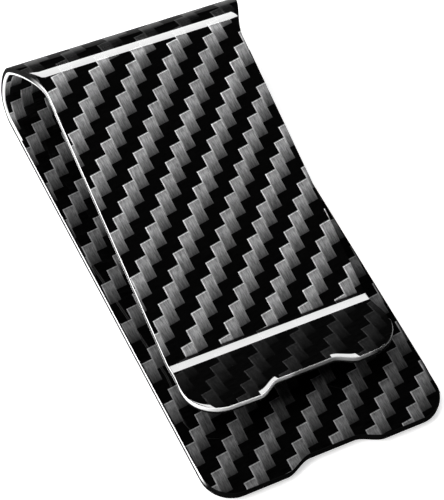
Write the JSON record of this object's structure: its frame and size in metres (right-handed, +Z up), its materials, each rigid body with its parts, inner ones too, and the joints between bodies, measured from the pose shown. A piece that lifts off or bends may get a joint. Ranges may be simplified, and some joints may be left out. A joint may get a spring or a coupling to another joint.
{
  "type": "money clip",
  "caption": "Folded one-piece carbon-fibre money clip: flat base, loop fold, narrower sprung tongue with a turned-up notched lip.",
  "frame": {"origin": "centre of the clip's bounding box in X and Y, on the face that it lies on", "axes": "+Z up from the base, +Y from the free edges to the fold, +X across the clip"},
  "size_m": [0.04, 0.0784, 0.0149],
  "materials": {
    "clear_coat": "high-gloss clear epoxy over black carbon",
    "twill_carbon": "2x2 twill-weave carbon fibre in black epoxy",
    "core_carbon": "unidirectional carbon fibre, cut edge"
  },
  "bodies": {
    "base": {"base_outer_coat": "clear_coat", "base_outer_twill": "twill_carbon", "base_outer_core": "core_carbon", "base_inner_core": "core_carbon", "base_inner_twill": "twill_carbon", "base_inner_coat": "clear_coat"},
    "fold_lower": {"fold_lower_outer_coat": "clear_coat", "fold_lower_outer_twill": "twill_carbon", "fold_lower_outer_core": "core_carbon", "fold_lower_inner_core": "core_carbon", "fold_lower_inner_twill": "twill_carbon", "fold_lower_inner_coat": "clear_coat"},
    "fold_rear": {"fold_rear_outer_coat": "clear_coat", "fold_rear_outer_twill": "twill_carbon", "fold_rear_outer_core": "core_carbon", "fold_rear_inner_core": "core_carbon", "fold_rear_inner_twill": "twill_carbon", "fold_rear_inner_coat": "clear_coat"},
    "fold_top": {"fold_top_outer_coat": "clear_coat", "fold_top_outer_twill": "twill_carbon", "fold_top_outer_core": "core_carbon", "fold_top_inner_core": "core_carbon", "fold_top_inner_twill": "twill_carbon", "fold_top_inner_coat": "clear_coat"},
    "tongue": {"tongue_outer_coat": "clear_coat", "tongue_outer_twill": "twill_carbon", "tongue_outer_core": "core_carbon", "tongue_inner_core": "core_carbon", "tongue_inner_twill": "twill_carbon", "tongue_inner_coat": "clear_coat", "lip_outer_coat": "clear_coat", "lip_outer_twill": "twill_carbon", "lip_outer_core": "core_carbon", "lip_inner_core": "core_carbon", "lip_inner_twill": "twill_carbon", "lip_inner_coat": "clear_coat"}
  },
  "joints": [
    {"name": "lower_bend_flex", "type": "hinge", "parent": "base", "child": "fold_lower", "pos_m": [0, 0.03496, 0], "axis": [-1, 0, 0], "range_deg": [0, 2.5], "stiffness_Nm_per_rad": 1},
    {"name": "rear_bend_flex", "type": "hinge", "parent": "fold_lower", "child": "fold_rear", "pos_m": [0, 0.03917, 0.00377], "axis": [-1, 0, 0], "range_deg": [0, 2.5], "stiffness_Nm_per_rad": 1},
    {"name": "clip_opening", "type": "hinge", "parent": "fold_rear", "child": "fold_top", "pos_m": [0, 0.03815, 0.01015], "axis": [-1, 0, 0], "range_deg": [0, 2.5], "stiffness_Nm_per_rad": 1},
    {"name": "tongue_flex", "type": "hinge", "parent": "fold_top", "child": "tongue", "pos_m": [0, 0.02877, 0.01463], "axis": [-1, 0, 0], "range_deg": [0, 2.5], "stiffness_Nm_per_rad": 1}
  ],
  "couplings": [
    {"joint": "lower_bend_flex", "follows": "clip_opening", "ratio": 1},
    {"joint": "rear_bend_flex", "follows": "clip_opening", "ratio": 1},
    {"joint": "tongue_flex", "follows": "clip_opening", "ratio": 1}
  ]
}
